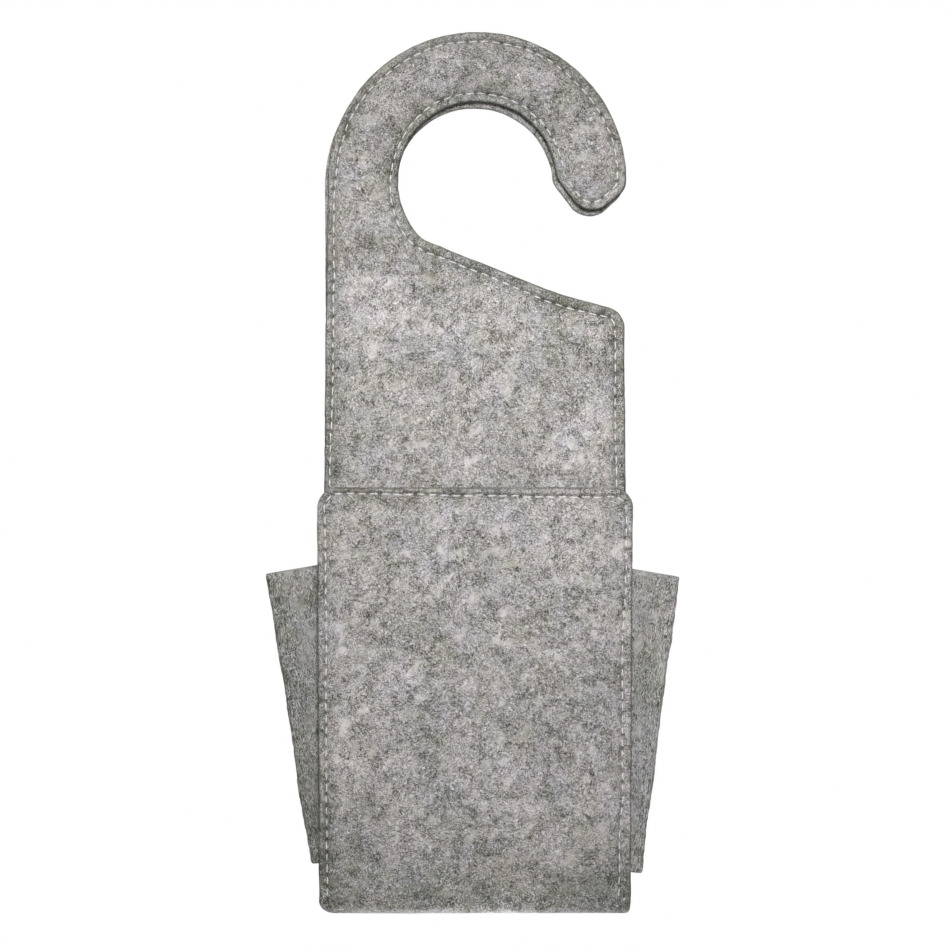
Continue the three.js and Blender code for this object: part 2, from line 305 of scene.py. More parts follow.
def through_corners(corners):
    """Open line through corners, each a point and the radius that rounds it off."""
    points = [corners[0][0][None]]
    for (before, _), (at, radius), (after, _) in zip(corners, corners[1:], corners[2:]):
        points.append(round_off(before, at, after, radius) if radius else at[None])
    points.append(corners[-1][0][None])
    return np.concatenate(points)


def arc_corners(radius, start, end):
    count = math.ceil(abs(math.radians(end - start)) * radius / CURVE_STEP)
    return [(polar(radius, degrees), 0) for degrees in np.linspace(start, end, count)]


def closed(ring):
    """Ring of points with its first point again at the end."""
    return np.r_[ring, ring[:1]]


def ring_area(ring):
    x, y = closed(ring).T
    return 0.5 * abs(np.sum(x[:-1] * y[1:] - x[1:] * y[:-1]))


def lengths_along(path):
    return np.r_[0, np.cumsum(np.linalg.norm(np.diff(path, axis=0), axis=1))]


def at_lengths(path, lengths):
    along = lengths_along(path)
    return np.c_[np.interp(lengths, along, path[:, 0]), np.interp(lengths, along, path[:, 1])]


def resample(path, step):
    total = lengths_along(path)[-1]
    return at_lengths(path, np.linspace(0, total, max(2, round(total / step) + 1)))


def left_normals(path):
    along = np.gradient(path, axis=0)
    along /= np.linalg.norm(along, axis=1)[:, None]
    return np.c_[-along[:, 1], along[:, 0]]


def nearest_on(points, path):
    """Distance from each point to an open path, and how far along the path its nearest place lies."""
    tree = kdtree.KDTree(len(path))
    for i, (x, y) in enumerate(path):
        tree.insert((x, y, 0), i)
    tree.balance()
    nearest = np.array([tree.find((x, y, 0))[1] for x, y in points])
    lengths = lengths_along(path)
    gap = np.full(len(points), np.inf)
    along = np.zeros(len(points))
    for step in (-1, 0):
        first = np.clip(nearest + step, 0, len(path) - 2)
        side = path[first + 1] - path[first]
        reach = np.einsum("ij,ij->i", side, side)
        share = np.clip(np.einsum("ij,ij->i", points - path[first], side) / reach, 0, 1)
        distance = np.linalg.norm(path[first] + share[:, None] * side - points, axis=1)
        closer = distance < gap
        gap = np.where(closer, distance, gap)
        along = np.where(closer, lengths[first] + share * np.sqrt(reach), along)
    return gap, along


def inside_of(points, outline):
    """True for points inside a closed outline."""
    count = np.zeros(len(points), int)
    for (ax, ay), (bx, by) in zip(outline, np.roll(outline, -1, axis=0)):
        crosses = (ay > points[:, 1]) != (by > points[:, 1])
        if ay != by:
            at = ax + (points[:, 1] - ay) * (bx - ax) / (by - ay)
            count += crosses & (points[:, 0] < at)
    return count % 2 == 1


def back_half_width(z):
    share = max(0, -FLARE_DROP - z) / (BOTTOM_DROP - FLARE_DROP)
    return BACK_HALF + (POCKET_HALF - BACK_HALF) * share


def back_edge():
    """Edge of the hook and back, from its right foot at the fold round the hook to its left foot."""
    foot = back_half_width(FOLD_CENTRE_Z)
    bend = np.array([BACK_HALF - SHOULDER_BEND_INSET, SHOULDER_BEND_RISE - SHOULDER_DROP])
    edge = through_corners([
        (np.array([foot, FOLD_CENTRE_Z]), 0),
        (np.array([BACK_HALF, -FLARE_DROP]), FLARE_RADIUS),
        (np.array([BACK_HALF, -SHOULDER_DROP]), SHOULDER_RADIUS),
        (bend, SHOULDER_BEND_RADIUS),
        (polar(KNOB_RADIUS, THROAT_ANGLE), THROAT_RADIUS),
        *arc_corners(KNOB_RADIUS, THROAT_ANGLE - ARC_END_GAP, TIP_INNER_ANGLE + ARC_END_GAP),
        (polar(KNOB_RADIUS, TIP_INNER_ANGLE), TIP_SIDE_ROUNDING),
        (polar(TIP_POINT_RADIUS, TIP_POINT_ANGLE), TIP_POINT_ROUNDING),
        (polar(BACK_HALF, TIP_OUTER_ANGLE), TIP_SIDE_ROUNDING),
        *arc_corners(BACK_HALF, TIP_OUTER_ANGLE + ARC_END_GAP, 180),
        (np.array([-BACK_HALF, -FLARE_DROP]), FLARE_RADIUS),
        (np.array([-foot, FOLD_CENTRE_Z]), 0),
    ])
    sag = HOOK_SAG * smooth((edge[:, 1] - SAG_LOW) / (SAG_HIGH - SAG_LOW))
    return np.c_[edge[:, 0] + sag, edge[:, 1]]


def pocket_edge():
    """Edge of the pocket's front, from its left foot over the top to its right foot."""
    return through_corners([
        (np.array([-POCKET_HALF, FOLD_END_UP]), 0),
        (np.array([-POCKET_HALF, POCKET_HEIGHT]), POCKET_CORNER_RADIUS),
        (np.array([POCKET_HALF, POCKET_HEIGHT]), POCKET_CORNER_RADIUS),
        (np.array([POCKET_HALF, FOLD_END_UP]), 0),
    ])


def seam_path(edge, insets, inward):
    """Stitch line that follows an edge, at an inset that wanders between the given places."""
    edge = resample(edge, CURVE_STEP)
    places = np.array([place for place, _ in insets])
    values = np.array([value for _, value in insets])
    gaps = np.linalg.norm(edge[:, None] - places[None], axis=2) + INSET_SOFTNESS
    weights = gaps ** -INSET_FALLOFF
    inset = (weights * values).sum(axis=1) / weights.sum(axis=1)
    inset = inset + SEAM_WANDER * ripple(edge, SEAM_WANDER_SIZE, inward)
    return resample(edge + inward * inset[:, None] * left_normals(edge), CURVE_STEP)


class Blank:
    """A felt blank: where a place on the flat blank comes to lie once it is folded."""

    def __init__(self, side):
        self.side = side
        middle = FOLD_SEAM_RADIUS + side * (BOARD_SEAT + LOFT) / 2
        self.run = FOLD_SWEEP * middle

    def from_back(self, points):
        return np.c_[points[:, 0], points[:, 1] - FOLD_CENTRE_Z]

    def from_pocket(self, points):
        return np.c_[points[:, 0], FOLD_END_UP - self.run - points[:, 1]]

    def past_fold(self, flat):
        """How far a place lies outside the fold, below zero inside it."""
        return np.abs(flat[:, 1] + self.run / 2) - self.run / 2

    def fold_share(self, flat):
        """1 in the fold, fading to 0 above it on both sides."""
        return smooth(1 - self.past_fold(flat) / FOLD_FADE)

    def fold_shade(self, flat):
        """Painted shade beside the fold, more on the left, and painted light where the fold turns under."""
        x, t = flat.T
        turn = np.clip((t / self.run + 0.5) * FOLD_SWEEP, -math.pi / 2, math.pi / 2)
        height = FOLD_RADIUS * (1 - np.cos(turn)) + np.maximum(self.past_fold(flat), 0)
        shade = np.interp(x, (-POCKET_HALF, POCKET_HALF), (FOLD_LEFT_SHADE, FOLD_RIGHT_SHADE))
        beside = shade * smooth((FOLD_SHADE_TOP - height) / FOLD_SHADE_RAMP)
        return beside - FOLD_PALE * smooth(1 - height / FOLD_PALE_TOP)

    def place(self, flat, level):
        x, t = flat.T
        reach = self.side * level
        angle = np.clip(-t / self.run, 0, 1) * FOLD_SWEEP
        radius = FOLD_SEAM_RADIUS + reach
        up = FOLD_END_UP - self.run - t
        rise = smooth((up - FOLD_END_UP) / FOLD_FADE)
        out = FOLD_END_LEVEL + (POCKET_SEAM_LEVEL - FOLD_END_LEVEL) * rise + reach
        lean_sin, lean_cos = math.sin(POCKET_LEAN), math.cos(POCKET_LEAN)
        stretch = [t >= 0, t >= -self.run]
        y = np.select(
            stretch,
            [reach - SEAM_PLANE, radius * np.cos(angle) - FOLD_RADIUS],
            -FOLD_RADIUS - up * lean_sin - out * lean_cos,
        )
        z = np.select(
            stretch,
            [t + FOLD_CENTRE_Z, FOLD_CENTRE_Z - radius * np.sin(angle)],
            up * lean_cos - out * lean_sin - BOTTOM_DROP,
        )
        return np.c_[x, y, z]

    def outline(self, register, seed):
        """Cut edge of the flat blank, anticlockwise, as a closed ring of points."""
        back = back_edge()
        lifted = smooth((back[:, 1] - REGISTER_LOW) / (REGISTER_HIGH - REGISTER_LOW))
        back = back + lifted[:, None] * register
        ring = np.r_[self.from_back(back), self.from_pocket(pocket_edge())]
        ring = resample(closed(ring), EDGE_STEP)[:-1]
        wander = EDGE_WANDER * waves(ring, EDGE_WAVES, seed)
        return self.rounded_fold(ring + wander[:, None] * left_normals(ring))

    def rounded_fold(self, ring):
        """Draws the edge in at the ends of the fold, so that the lower corners look rounded."""
        turn = (ring[:, 1] + self.run / 2) / self.run * FOLD_SWEEP
        radius = FOLD_SEAM_RADIUS + self.side * LOFT
        height = FOLD_RADIUS - radius * np.cos(np.clip(turn, -math.pi / 2, math.pi / 2))
        in_fold = np.abs(turn) < math.pi / 2
        rounding = np.where(ring[:, 0] < 0, FOLD_LEFT_ROUNDING, FOLD_RIGHT_ROUNDING)
        missing = np.clip(1 - height / rounding, 0, 1)
        draw = np.where(in_fold, rounding * (1 - np.sqrt(1 - missing ** 2)), 0)
        return np.c_[ring[:, 0] - np.sign(ring[:, 0]) * draw, ring[:, 1]]


# Meshes


def mesh_object(name, points, faces, material, attributes=None):
    mesh = bpy.data.meshes.new(name)
    mesh.from_pydata((points * MM).tolist(), [], faces)
    mesh.update()
    mesh.shade_smooth()
    for key, values in (attributes or {}).items():
        kind = "FLOAT_VECTOR" if values.ndim == 2 else "FLOAT"
        field = "vector" if values.ndim == 2 else "value"
        layer = mesh.attributes.new(key, kind, "POINT")
        layer.data.foreach_set(field, values.astype(np.float32).ravel())
    obj = bpy.data.objects.new(name, mesh)
    obj.data.materials.append(material)
    bpy.context.scene.collection.objects.link(obj)
    return obj


def turned(faces):
    """The same faces with their other side out."""
    return [tuple(reversed(face)) for face in faces]


def fill_outline(outline, inside):
    """Triangles over a closed outline through the points inside it."""
    count = len(outline)
    points = [Vector(point) for point in np.r_[outline, inside]]
    edges = [(i, (i + 1) % count) for i in range(count)]
    made = delaunay_2d_cdt(points, edges, [], TRIANGLES_INSIDE, MERGE_DISTANCE)
    return np.array([(v.x, v.y) for v in made[0]]), [tuple(face) for face in made[2]]


def grid_inside(outline, step, clear):
    """Points of a triangular grid that lie inside an outline and clear of it."""
    low, high = outline.min(axis=0), outline.max(axis=0)
    rows = np.arange(low[1], high[1], step * math.sqrt(3) / 2)
    columns = np.arange(low[0], high[0], step)
    x, y = np.meshgrid(columns, rows)
    x = x + (np.arange(len(rows)) % 2)[:, None] * step / 2
    grid = np.c_[x.ravel(), y.ravel()]
    grid = grid[inside_of(grid, outline)]
    return grid[nearest_on(grid, closed(outline))[0] > clear]


def inset_rings(outline, insets):
    """Rings of points at insets from an outline, without those that its corners crowd."""
    ring = closed(outline)
    normals = left_normals(ring)
    lines = [(inset, ring + inset * normals) for inset in insets]
    return np.concatenate([line[nearest_on(line, ring)[0] > inset - RING_SLACK] for inset, line in lines])


class Seam:
    """A stitch line on the flat blank, with its stitches spread evenly."""

    def __init__(self, path):
        self.path = path
        self.length = lengths_along(path)[-1]
        self.count = round(self.length / STITCH_PITCH)
        self.pitch = self.length / self.count
        # Each needle hole gets painted shade of its own darkness
        rng = np.random.default_rng(HOLE_SEED)
        self.hole_shades = rng.uniform(HOLE_SHADE_LEAST, HOLE_SHADE_MOST, self.count + 1)


def seam_distances(points, seams):
    """Distances to the nearest stitch line and to its nearest needle hole, with the place along that
    line, counted in stitches, and how dark the painted shade of that hole is."""
    seam = np.full(len(points), np.inf)
    hole = np.full(len(points), np.inf)
    phase = np.zeros(len(points))
    hole_shade = np.zeros(len(points))
    for line in seams:
        gap, along = nearest_on(points, line.path)
        turns = along / line.pitch
        to_hole = np.hypot(gap, (turns - np.round(turns)) * line.pitch)
        closer = gap < seam
        seam = np.where(closer, gap, seam)
        hole = np.where(closer, to_hole, hole)
        phase = np.where(closer, turns, phase)
        hole_shade = np.where(closer, line.hole_shades[np.round(turns).astype(int)], hole_shade)
    return seam, hole, phase, hole_shade


# Felt blanks

# One side of a sheet: flat places, faces, heights and shades
SheetSide = namedtuple("SheetSide", "flat faces level shade")


def padding(edge):
    """0 at the sewn border and 1 where the felt lies over its board."""
    return smooth((edge - PILLOW_START) / (PILLOW_END - PILLOW_START))


def border_share(edge):
    """1 at the border, fading to 0 inside it."""
    return smooth((BORDER_PRESS_AND_SHADE_REACH - edge) / BORDER_PRESS_AND_SHADE_RAMP)


def edge_lip(edge, rounding):
    return rounding * (1 - np.sqrt(1 - np.clip(1 - edge / rounding, 0, 1) ** 2))


def skin_level(edge, seam, hole, phase, fold):
    """Height of a skin: a lip at the cut edge, a sunk stitch line and a padded middle, level in the fold."""
    sewn = BORDER + (LOFT - BORDER) * padding(edge)
    sewn = sewn - GROOVE_DEPTH * bell(seam, GROOVE_WIDTH) - HOLE_DEPTH * bell(hole, HOLE_WIDTH)
    sewn = sewn - PUCKER * np.cos(2 * math.pi * phase) * bell(seam, PUCKER_REACH)
    return sewn + (LOFT - sewn) * fold - edge_lip(edge, EDGE_ROUNDING)


def skin_shade(blank, flat, edge, seam, hole, hole_shade):
    """Darkness of a skin: along the border partly felt that the seam presses and partly painted shade,
    darker all over the hook, painted shade beside the fold, in the needle holes, in the seam's groove and on
    the rim, and painted light where the fold turns under.
    """
    x, t = flat.T
    back_press_and_shade = np.interp(t, HOOK_SHADE_SPAN, (BACK_PRESS_AND_SHADE, HOOK_PRESS_AND_SHADE))
    pocket_press_and_shade = np.interp(x, (-POCKET_HALF, POCKET_HALF), (POCKET_LEFT_PRESS_AND_SHADE, POCKET_RIGHT_PRESS_AND_SHADE))
    border = border_share(edge) * (1 - blank.fold_share(flat))
    shade = border * np.where(t > 0, back_press_and_shade, pocket_press_and_shade) + blank.fold_shade(flat)
    shade = shade + np.interp(t, HOOK_SHADE_SPAN, (0, HOOK_SHADE))
    shade = shade + HOLE_SHADE * hole_shade * bell(hole, HOLE_WIDTH) + GROOVE_SHADE * bell(seam, HOLE_WIDTH)
    return shade + RIM_SHADE * bell(edge, RIM_WIDTH)


def skin_points(outline, seams):
    """Points inside an outline, close together along its edge and its stitch lines."""
    seam_points = []
    for line in seams:
        path = resample(line.path, SEAM_STEP)
        seam_points += [path + offset * left_normals(path) for offset in SEAM_LINES]
    rest = np.r_[inset_rings(outline, EDGE_RINGS), grid_inside(outline, GRID_STEP, EDGE_CLEAR)]
    rest = rest[seam_distances(rest, seams)[0] > SEAM_CLEAR]
    return np.concatenate([*seam_points, rest])


def felt_skin(blank, outline, seams, seed):
    """The side of a blank that shows, with its stitch lines."""
    flat, faces = fill_outline(outline, skin_points(outline, seams))
    edge = nearest_on(flat, closed(outline))[0]
    seam, hole, phase, hole_shade = seam_distances(flat, seams)
    level = skin_level(edge, seam, hole, phase, blank.fold_share(flat))
    share = UNEVEN_BORDER_SHARE + (1 - UNEVEN_BORDER_SHARE) * padding(edge)
    level = level + UNEVENNESS * waves(flat, UNEVEN_WAVES, seed) * share
    return SheetSide(flat, faces, level, skin_shade(blank, flat, edge, seam, hole, hole_shade))


def felt_lining(blank, outline):
    """The side that lies on the other ply at the border and on the board in the middle."""
    ramps = inset_rings(outline, LINING_RINGS)
    coarse = grid_inside(outline, COARSE_STEP, COARSE_CLEAR)
    flat, faces = fill_outline(outline, np.r_[ramps, coarse])
    edge = nearest_on(flat, closed(outline))[0]
    sewn = PLY_SEAT + (BOARD_SEAT - PLY_SEAT) * smooth((edge - BOARD_INSET + BOARD_RAMP) / BOARD_RAMP)
    level = sewn + (BOARD_SEAT - sewn) * blank.fold_share(flat) + edge_lip(edge, LINING_ROUNDING)
    # Painted shade on the lining along its border
    return SheetSide(flat, faces, level, COVERED_SHADE * border_share(edge))


def blank_faces(skin, lining, count):
    """Faces of a closed sheet: its skin, its lining turned over and two bands round the cut edge."""
    low = len(skin.flat)
    wall = low + len(lining.flat)
    faces = list(skin.faces)
    faces += [tuple(low + i for i in face) for face in turned(lining.faces)]
    for i in range(count):
        j = (i + 1) % count
        faces.append((i, wall + i, wall + j, j))
        faces.append((wall + i, low + i, low + j, wall + j))
    return faces


def felt_blank(name, blank, register, seams, seed, material):
    """Closed felt sheet with its flat size and area: a skin, a lining and the cut edge between them."""
    outline = blank.outline(register, seed)
    count = len(outline)
    skin = felt_skin(blank, outline, seams, seed)
    lining = felt_lining(blank, outline)
    wall_flat = outline - EDGE_BULGE * left_normals(closed(outline))[:-1]
    wall_level = (skin.level[:count] + lining.level[:count]) / 2
    flat = np.r_[skin.flat, lining.flat, wall_flat]
    level = np.r_[skin.level, lining.level, wall_level]
    # The cut edge gets painted shade all over
    shade = np.r_[skin.shade, lining.shade, np.full(count, CUT_SHADE)]
    faces = blank_faces(skin, lining, count)
    if blank.side > 0:
        faces = turned(faces)
    # The shade attribute carries painted shade and the seam's press, and painted light where it is below
    # zero
    attributes = {"cloth_mm": np.c_[flat, level + CLOTH_SHIFT * seed], "painted_shade_and_press": shade}
    obj = mesh_object(name, blank.place(flat, level), faces, material, attributes)
    size = outline.max(axis=0) - outline.min(axis=0)
    return obj, size * MM, ring_area(outline) * MM * MM


# Stitches


def stitch_points(blank, seam, number, rng):
    """Flat places and heights of one stitch, ring by ring along its twisted thread."""
    steps = np.linspace(0, 1, STITCH_STEPS)
    angles = 2 * math.pi * np.arange(STITCH_SIDES) / STITCH_SIDES
    along = number * seam.pitch + STITCH_GAP / 2 + steps * (seam.pitch - STITCH_GAP)
    ahead = at_lengths(seam.path, along + TANGENT_STEP) - at_lengths(seam.path, along - TANGENT_STEP)
    ahead /= np.linalg.norm(ahead, axis=1)[:, None]
    across = np.c_[-ahead[:, 1], ahead[:, 0]]
    skew = rng.normal(0, STITCH_WANDER, 2)
    centre = at_lengths(seam.path, along) + across * (skew[0] * (1 - steps) + skew[1] * steps)[:, None]
    floor = BORDER - GROOVE_DEPTH
    ground = floor + (LOFT - floor) * blank.fold_share(centre)
    height = ground + STITCH_SIT - STITCH_DIVE * np.abs(2 * steps - 1) ** STITCH_DIVE_POWER
    height = height - rng.uniform(0, STITCH_SINK)
    twist = angles[None] - (THREAD_TWIST * along + rng.uniform(0, math.pi))[:, None]
    radius = THREAD_RADIUS * (1 - THREAD_PLY_DEPTH + THREAD_PLY_DEPTH * np.cos(THREAD_PLIES * twist))
    out = radius * np.cos(angles)[None]
    flat = centre[:, None] + across[:, None] * out[..., None]
    level = height[:, None] + radius * np.sin(angles)[None]
    return flat.reshape(-1, 2), level.ravel()


def stitch_faces(base):
    """Faces of the stitch whose first point has the number base: its side and its two ends."""
    faces = []
    for i in range(STITCH_STEPS - 1):
        for j in range(STITCH_SIDES):
            a = base + i * STITCH_SIDES + j
            b = base + i * STITCH_SIDES + (j + 1) % STITCH_SIDES
            faces.append((a, b, b + STITCH_SIDES, a + STITCH_SIDES))
    last = base + (STITCH_STEPS - 1) * STITCH_SIDES
    faces.append(tuple(range(base + STITCH_SIDES - 1, base - 1, -1)))
    faces.append(tuple(range(last, last + STITCH_SIDES)))
    return faces


def stitch_row(name, blank, seam, seed, material):
    """Stitches of one seam, each a short length of thread that dives into the felt at both ends."""
    rng = np.random.default_rng(seed)
    flats, levels, faces = [], [], []
    for number in range(seam.count):
        flat, level = stitch_points(blank, seam, number, rng)
        flats.append(flat)
        levels.append(level)
        faces += stitch_faces(number * STITCH_STEPS * STITCH_SIDES)
    if blank.side > 0:
        faces = turned(faces)
    points = blank.place(np.concatenate(flats), np.concatenate(levels))
    return mesh_object(name, points, faces, material)


# Gussets


def leaf_frames(side):
    """Where the two leaves of a gusset stand, with x across the crease and z up along it."""
    apex = Matrix.Translation((side * APEX_X, -FOLD_RADIUS, -BOTTOM_DROP))
    rear = apex @ Matrix.Rotation(-side * LEAN_IN, 4, "Y") @ Matrix.Rotation(-side * ROOT_TURN, 4, "Z")
    rear = rear @ Matrix.Rotation(side * LEAF_ANGLE, 4, "Y")
    front = rear @ Matrix.Rotation(side * CREASE_TURN, 4, "Z")
    return np.array(rear), np.array(front)


def crease_inset(wing, height):
    """How far from the crease's axis the leaves begin to bend, at a height."""
    share = (height - wing.foot) / (wing.top - wing.foot)
    inset = wing.crease_inset - wing.foot_spread * (1 - share) ** FOOT_SPREAD_POWER
    for reach, size, seed in CREASE_WAVES:
        inset += reach * noise.noise((height / size, wing.side, seed))
    return inset


def leaf_line(matrix, side, start, end, level, height):
    """Row of points across a leaf at a height, between two distances from the crease's axis."""
    outward = -side * np.linspace(start, end, LEAF_STEPS)
    points = np.c_[outward, np.full(LEAF_STEPS, -level), np.full(LEAF_STEPS, height)]
    return points @ matrix[:3, :3].T + matrix[:3, 3]


def bend_line(start, leave, arrive, end):
    """Points of a smooth bend between two leaves, without its ends."""
    s = np.linspace(0, 1, CREASE_STEPS + 2)[1:-1, None]
    bend = (1 - s) ** 3 * start + 3 * (1 - s) ** 2 * s * leave
    return bend + 3 * (1 - s) * s ** 2 * arrive + s ** 3 * end


def gusset_section(wing, height):
    """Middle line of a gusset across its fold, from the root over the crease to the sewn front edge."""
    side = wing.side
    rear, front = leaf_frames(side)
    width = math.tan(LEAF_ANGLE) * height
    crease = crease_inset(wing, height)
    rear_line = leaf_line(rear, side, width + ROOT_TUCK, crease, REAR_LEAF_LEVEL, height)
    front_line = leaf_line(front, side, crease, width + GUSSET_TUCK, FRONT_LEAF_LEVEL, height)
    leave = rear_line[-1] + side * CREASE_PULL * rear[:3, 0]
    arrive = front_line[0] + side * CREASE_PULL * front[:3, 0]
    return np.r_[rear_line, bend_line(rear_line[-1], leave, arrive, front_line[0]), front_line]


def strip_faces(rows, columns):
    """Faces of a closed strip: a grid of points, a second one behind it, and the rim between them."""
    count = rows * columns
    ahead = np.arange(count).reshape(rows, columns)
    behind = ahead + count
    faces = []
    for i in range(rows - 1):
        for j in range(columns - 1):
            faces.append((ahead[i, j], ahead[i, j + 1], ahead[i + 1, j + 1], ahead[i + 1, j]))
            faces.append((behind[i + 1, j], behind[i + 1, j + 1], behind[i, j + 1], behind[i, j]))
    rim = [*ahead[0, :-1], *ahead[:-1, -1], *ahead[-1, :0:-1], *ahead[:0:-1, 0]]
    for a, b in zip(rim, rim[1:] + rim[:1]):
        faces.append((b, a, a + count, b + count))
    return [tuple(int(i) for i in face) for face in faces]


def gusset_strip(wing, seed, material):
    """Closed felt strip with a fold, made from its middle surface, with its flat size and area."""
    heights = np.linspace(wing.foot, wing.top, GUSSET_ROWS)
    middle = np.array([gusset_section(wing, height) for height in heights])
    rows, columns = middle.shape[:2]
    normals = np.cross(np.gradient(middle, axis=1), np.gradient(middle, axis=0))
    normals /= np.linalg.norm(normals, axis=2)[..., None]
    steps = np.linalg.norm(np.diff(middle, axis=1), axis=2)
    across = np.c_[np.zeros(rows), np.cumsum(steps, axis=1)]
    across = across - across[:, [columns // 2]]
    flat = np.c_[across.ravel(), np.repeat(heights, columns)]
    uneven = GUSSET_UNEVENNESS * ripple(flat, GUSSET_UNEVEN_SIZE, seed).reshape(rows, columns)
    half = np.full((rows, columns), GUSSET_HALF)
    half[[0, -1]] *= GUSSET_RIM_SHARE
    half[:, [0, -1]] *= GUSSET_RIM_SHARE
    ahead = middle + normals * (half + uneven)[..., None]
    behind = middle - normals * (half - uneven)[..., None]
    faces = strip_faces(rows, columns)
    if wing.side > 0:
        faces = turned(faces)
    # Painted shade over the wing, with painted shade along the crease of the left wing and painted light
    # there on the right
    creased = smooth(1 - np.abs(flat[:, 0]) / CREASE_REACH)
    painted_shade_and_press = wing.shade + creased * wing.crease_shade
    depth = np.r_[half.ravel(), -half.ravel()] + CLOTH_SHIFT * seed
    attributes = {
        "cloth_mm": np.c_[np.r_[flat, flat], depth],
        "painted_shade_and_press": np.r_[painted_shade_and_press, painted_shade_and_press],
        "creased": np.r_[creased, creased],
    }
    points = np.r_[ahead.reshape(-1, 3), behind.reshape(-1, 3)]
    obj = mesh_object(f"{wing.name}_gusset", points, faces, material, attributes)
    widths = steps.sum(axis=1)
    tall = wing.top - wing.foot
    return obj, np.array([widths.max(), tall]) * MM, widths.mean() * tall * MM * MM


# Shader nodes

# Colour sockets of a mix node
MIX_FIRST = 6
MIX_SECOND = 7
MIX_RESULT = 2
NOISE_MIDDLE = 0.5


def srgb(red, green, blue):
    """Linear colour with full opacity from the 0 to 255 values of a picture."""
    def linear(value):
        value /= 255
        return value / 12.92 if value <= 0.04045 else ((value + 0.055) / 1.055) ** 2.4
    return (linear(red), linear(green), linear(blue), 1.0)


def new_material(name):
    material = bpy.data.materials.new(name)
    material.use_nodes = True
    tree = material.node_tree
    return material, tree, tree.nodes["Principled BSDF"]


def add_node(tree, kind, inputs=None, **settings):
    made = tree.nodes.new(kind)
    for key, value in settings.items():
        setattr(made, key, value)
    for key, value in (inputs or {}).items():
        if isinstance(value, bpy.types.NodeSocket):
            tree.links.new(value, made.inputs[key])
        else:
            made.inputs[key].default_value = value
    return made


def attribute_node(tree, name, output):
    return add_node(tree, "ShaderNodeAttribute", attribute_name=name).outputs[output]


def math_node(tree, operation, *values):
    inputs = dict(enumerate(values))
    return add_node(tree, "ShaderNodeMath", inputs, operation=operation).outputs[0]


def noise_node(tree, vector, size, detail=2.0, roughness=0.5):
    """Noise with hills of about the given size on coordinates in millimetres."""
    inputs = {"Vector": vector, "Scale": 1 / size, "Detail": detail, "Roughness": roughness}
    return add_node(tree, "ShaderNodeTexNoise", inputs).outputs["Fac"]


def object_noise(tree, scale, detail):
    """Noise on the object's own coordinates, which are in metres."""
    place = add_node(tree, "ShaderNodeTexCoord").outputs["Object"]
    inputs = {"Vector": place, "Scale": scale, "Detail": detail}
    return add_node(tree, "ShaderNodeTexNoise", inputs).outputs["Fac"]


def ranged(tree, value, low, high):
    """0 below low, 1 above high and a soft step between."""
    inputs = {"Value": value, "From Min": low, "From Max": high}
    return add_node(tree, "ShaderNodeMapRange", inputs, interpolation_type="SMOOTHSTEP").outputs["Result"]


def weighted_sum(tree, terms, start):
    """Start plus each (value, weight, middle) term's weighted distance from its middle."""
    total = start
    for value, weight, middle in terms:
        offset = math_node(tree, "SUBTRACT", value, middle)
        total = math_node(tree, "MULTIPLY_ADD", offset, weight, total)
    return total


def colour_ramp(tree, value, stops):
    ramp = add_node(tree, "ShaderNodeValToRGB", {"Fac": value})
    elements = ramp.color_ramp.elements
    while len(elements) < len(stops):
        elements.new(0.5)
    for element, (position, colour) in zip(elements, stops):
        element.position = position
        element.color = colour
    return ramp.outputs["Color"]


def tinted(tree, colour, tint):
    """Colour multiplied by a tint."""
    inputs = {"Factor": 1.0, MIX_FIRST: colour, MIX_SECOND: tint}
    mixed = add_node(tree, "ShaderNodeMix", inputs, data_type="RGBA", blend_type="MULTIPLY")
    return mixed.outputs[MIX_RESULT]


# Surface of a material: strength and depth (in metres) of its relief, its roughness and its shine
Finish = namedtuple("Finish", "strength depth roughness shine")


def give_surface(tree, shader, colour, relief, finish):
    tree.links.new(colour, shader.inputs["Base Color"])
    inputs = {"Strength": finish.strength, "Distance": finish.depth, "Height": relief}
    bump = add_node(tree, "ShaderNodeBump", inputs)
    tree.links.new(bump.outputs["Normal"], shader.inputs["Normal"])
    shader.inputs["Roughness"].default_value = finish.roughness
    shader.inputs["Specular IOR Level"].default_value = finish.shine


# Felt

# Colours from the darkest to the palest tone, and tints that they are multiplied by
FELT_STOPS = [
    (0.0, srgb(62, 62.5, 55)),
    (0.25, srgb(115, 113.6, 106.8)),
    (0.5, srgb(162, 160, 156.4)),
    (0.75, srgb(195.5, 193, 191.4)),
    (1.0, srgb(231, 228.6, 229)),
]
HUE_STOPS = [(0.34, (1.0, 0.986, 0.945, 1)), (0.66, (0.95, 0.962, 1.0, 1))]
PALE_STOPS = [(0.3, (0.98, 1.0, 0.97, 1)), (0.7, (1.012, 0.975, 1.01, 1))]

# Noise in the felt: size in millimetres, detail and roughness
PATCH_NOISE = (22, 2.0, 0.5)
CLUMP_NOISE = (6.5, 3.0, 0.55)
GRAIN_NOISE = (1.7, 2.0, 0.6)
LIVELY_NOISE = (5.5, 3.0, 0.5)
BUNCH_NOISE = (5.0, 2.0, 0.5)
HUE_NOISE = (15, 2.0, 0.55)

# What each pattern adds to the felt's tone
PATCH_WEIGHT = 0.55
CLUMP_WEIGHT = 0.3
PAINTED_SHADE_AND_PRESS_WEIGHT = -0.085
LIVELY_WEIGHT = 4.4
LIVELY_CLUMP_WEIGHT = -0.9
BUNCH_RANGE = (0.46, 0.64)
TANGLE_LIFT = 0.07

# What the tints follow
HUE_MIDDLE = 0.462
PALE_MIDDLE = 0.53
PALE_PATCH_WEIGHT = 0.45
PALE_CLUMP_WEIGHT = 0.78
# More olive where the painted shade and the seam's press are strongest
PALE_SHADED_WEIGHT = -0.12
SHADED_TINT_RANGE = (0.8, 2.4)

